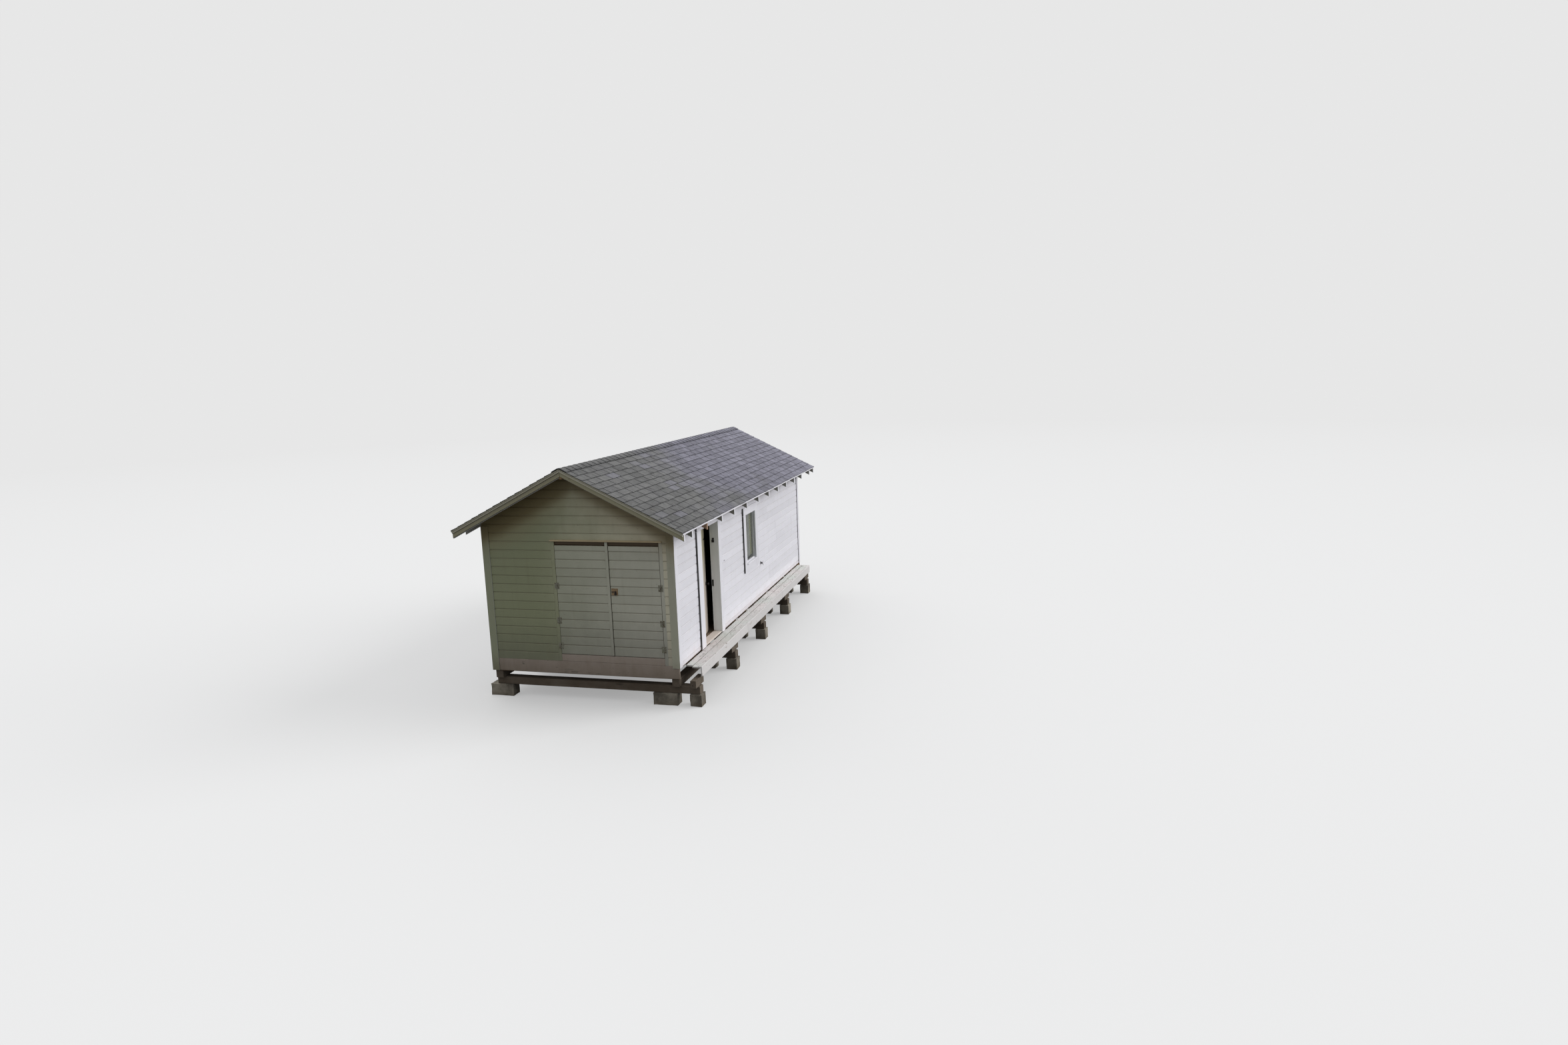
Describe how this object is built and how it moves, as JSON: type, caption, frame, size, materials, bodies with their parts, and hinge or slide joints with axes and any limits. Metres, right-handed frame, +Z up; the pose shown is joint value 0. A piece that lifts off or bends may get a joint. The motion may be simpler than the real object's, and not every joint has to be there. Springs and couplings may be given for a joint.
{
  "type": "boathouse",
  "caption": "Small framed boathouse on block piers, with lap siding, a shingled gable roof, double land doors, a side door, one window and a plank walkway.",
  "frame": {"origin": "on the ground below the middle of the roof, at the level of the block feet", "axes": "+Z up, -Y towards the land doors, +Y towards the lake, +X towards the walkway side"},
  "size_m": [3.65, 8.24, 3.59],
  "materials": {
    "white_paint": "painted white, weathered at the foot",
    "shade_paint": "painted off-white, dusty",
    "bare_lumber": "aged bare softwood",
    "worn_planks": "worn white paint over grey wood",
    "crib_timber": "dark weathered timber",
    "concrete": "rough concrete block",
    "door_tan": "dull beige paint",
    "shingle": "mineral granules, mottled grey",
    "rusty_steel": "rusted",
    "dark_iron": "blackened iron",
    "glass": "clear pane",
    "curtain_cloth": "faded grey cotton with an olive stripe"
  },
  "bodies": {
    "building": {"pier_blocks": "concrete", "pier_bearers": "crib_timber", "walkway_cribs": "crib_timber", "floor_beams": "crib_timber", "floor_joists": "bare_lumber", "floor_deck": "bare_lumber", "walkway_planks": "worn_planks", "walkway_fascia": "worn_planks", "side_wall_plates": "bare_lumber", "side_wall_studs": "bare_lumber", "end_wall_plates": "bare_lumber", "end_wall_studs": "bare_lumber", "left_siding": "white_paint", "back_siding": "shade_paint", "right_siding": "white_paint", "front_siding": "shade_paint", "corner_boards": "white_paint", "front_door_trim": "shade_paint", "door_sills": "worn_planks", "fixed_hinge_plates": "rusty_steel", "side_door_frame": "shade_paint", "side_casings": "white_paint", "wall_ironwork": "dark_iron", "window_sash": "white_paint", "window_glass": "glass", "curtain_rod": "rusty_steel", "window_curtain": "curtain_cloth", "rafters": "white_paint", "ridge_board": "bare_lumber", "ceiling_ties": "bare_lumber", "eave_blocking": "white_paint", "roof_boards_left": "bare_lumber", "roof_boards_right": "bare_lumber", "shingles_left": "shingle", "shingles_right": "shingle", "ridge_cap": "shingle", "rake_boards": "shade_paint", "eave_edges": "white_paint"},
    "land_leaf_left": {"front_door_left": "shade_paint", "left_leaf_hinges": "rusty_steel"},
    "land_leaf_right": {"front_door_right": "shade_paint", "right_leaf_hinges": "rusty_steel", "front_door_hasp": "rusty_steel"},
    "side_leaf": {"side_door": "door_tan", "side_door_hardware": "rusty_steel"}
  },
  "joints": [
    {"name": "land_left_hinge", "type": "hinge", "parent": "building", "child": "land_leaf_left", "pos_m": [-0.348, -3.777, 1.25], "axis": [0, 0, -1], "range_deg": [0, 165]},
    {"name": "land_right_hinge", "type": "hinge", "parent": "building", "child": "land_leaf_right", "pos_m": [1.3, -3.777, 1.25], "axis": [0, 0, 1], "range_deg": [0, 165]},
    {"name": "side_hinge", "type": "hinge", "parent": "building", "child": "side_leaf", "pos_m": [1.391, -2.659, 1.5], "axis": [0, 0, 1], "range_deg": [-9, 81]}
  ]
}
